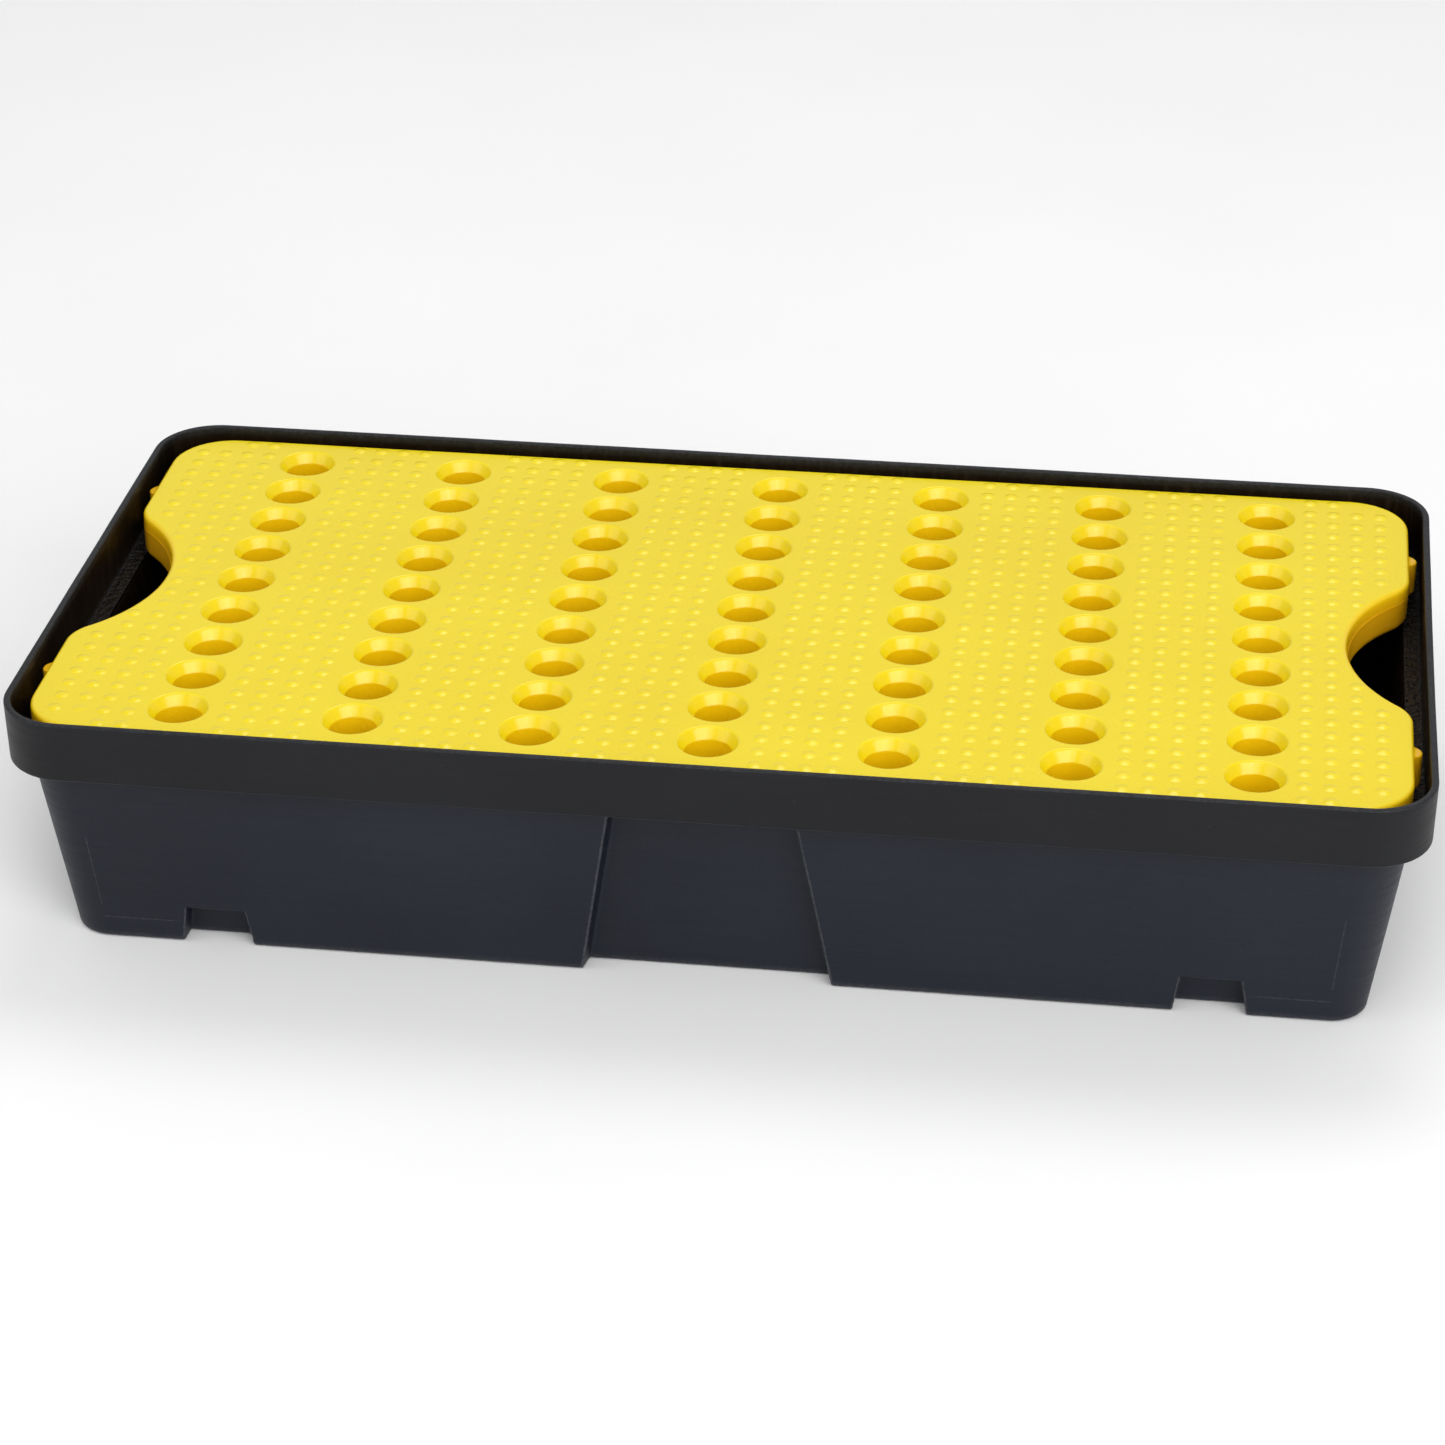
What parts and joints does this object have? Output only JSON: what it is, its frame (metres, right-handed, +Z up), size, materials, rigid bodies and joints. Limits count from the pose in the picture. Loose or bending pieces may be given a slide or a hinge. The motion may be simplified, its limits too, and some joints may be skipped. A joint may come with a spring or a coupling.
{
  "type": "spill containment pallet",
  "caption": "Low rectangular spill tray with a rim band and side recesses, covered by a lift-out perforated anti-slip grate.",
  "frame": {"origin": "centre of the tray's underside, on the floor", "axes": "+X along the length, +Y across the width, +Z up"},
  "size_m": [0.805, 0.405, 0.155],
  "materials": {
    "tray_plastic": "black polyethylene, faint satin",
    "grate_plastic": "yellow polyethylene, soft satin with raised domes"
  },
  "bodies": {
    "tray": {"spill_tray": "tray_plastic"},
    "grate": {"grate": "grate_plastic"}
  },
  "joints": [
    {"name": "grate_lift", "type": "slide", "parent": "tray", "child": "grate", "axis": [0, 0, 1], "range_m": [0, 0.12]}
  ]
}
